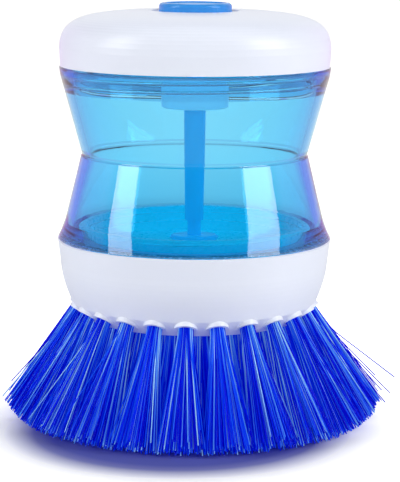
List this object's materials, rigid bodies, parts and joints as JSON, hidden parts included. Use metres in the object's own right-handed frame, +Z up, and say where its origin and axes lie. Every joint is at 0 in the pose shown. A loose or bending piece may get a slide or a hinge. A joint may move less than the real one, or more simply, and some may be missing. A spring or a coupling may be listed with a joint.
{
  "type": "palm dish brush",
  "caption": "Palm dish brush with flared nylon tufts, a clear soap reservoir with a narrow waist, and a push button in the cap that opens a spring valve over the bristles.",
  "frame": {"origin": "on the axis of the button and the valve, in the plane of the trimmed bristle tips that the brush stands on", "axes": "+Z up along the axis, towards the push button; X and Y lie across the brush, which is round"},
  "size_m": [0.0964, 0.0964, 0.1043],
  "materials": {
    "white_plastic": "smooth moulded gloss",
    "clear_blue": "clear tinted gloss",
    "blue_plastic": "smooth moulded gloss",
    "silicone": "satin",
    "spring_steel": "drawn wire",
    "bristle": "glossy nylon filament"
  },
  "bodies": {
    "base": {"brush_base": "white_plastic", "tuft_plate": "white_plastic", "valve_seat": "white_plastic", "valve_plate": "white_plastic", "valve_spring": "spring_steel", "outer_bristles": "bristle", "second_bristles": "bristle", "third_bristles": "bristle", "inner_bristles": "bristle", "tuft_anchors": "spring_steel"},
    "lower_gasket": {"base_seal": "silicone"},
    "reservoir": {"reservoir": "clear_blue"},
    "upper_gasket": {"cap_seal": "silicone"},
    "rod_ring": {"rod_seal": "silicone"},
    "cap": {"top_cap": "white_plastic", "button_guide": "white_plastic", "button_spring": "spring_steel"},
    "button": {"push_button": "blue_plastic", "push_rod": "blue_plastic"},
    "valve": {"valve_stem": "blue_plastic", "valve_seal": "silicone", "seal_retainer": "white_plastic"}
  },
  "joints": [
    {"name": "reservoir_rise", "type": "slide", "parent": "base", "child": "lower_gasket", "axis": [0, 0, 1], "range_m": [0, 0.003]},
    {"name": "reservoir_turn", "type": "hinge", "parent": "lower_gasket", "child": "reservoir", "pos_m": [0, 0, 0.0454], "axis": [0, 0, 1], "range_deg": [0, 540]},
    {"name": "cap_lift", "type": "slide", "parent": "reservoir", "child": "upper_gasket", "axis": [0, 0, 1], "range_m": [0, 0.046]},
    {"name": "cap_rise", "type": "slide", "parent": "upper_gasket", "child": "rod_ring", "axis": [0, 0, 1], "range_m": [0, 0.004]},
    {"name": "cap_turn", "type": "hinge", "parent": "rod_ring", "child": "cap", "pos_m": [0, 0, 0.0887], "axis": [0, 0, 1], "range_deg": [0, 720]},
    {"name": "button_press", "type": "slide", "parent": "cap", "child": "button", "axis": [0, 0, -1], "range_m": [0, 0.002], "stiffness_N_per_m": 900, "springref_m": -0.003, "deforming": ["button_spring"]},
    {"name": "valve_travel", "type": "slide", "parent": "base", "child": "valve", "axis": [0, 0, -1], "range_m": [0, 0.002], "deforming": ["valve_spring"]}
  ],
  "couplings": [
    {"joint": "reservoir_rise", "follows": "reservoir_turn", "m_per_rad": 0.0003183},
    {"joint": "cap_rise", "follows": "cap_turn", "m_per_rad": 0.0003183},
    {"joint": "valve_travel", "follows": "button_press", "ratio": 1}
  ]
}
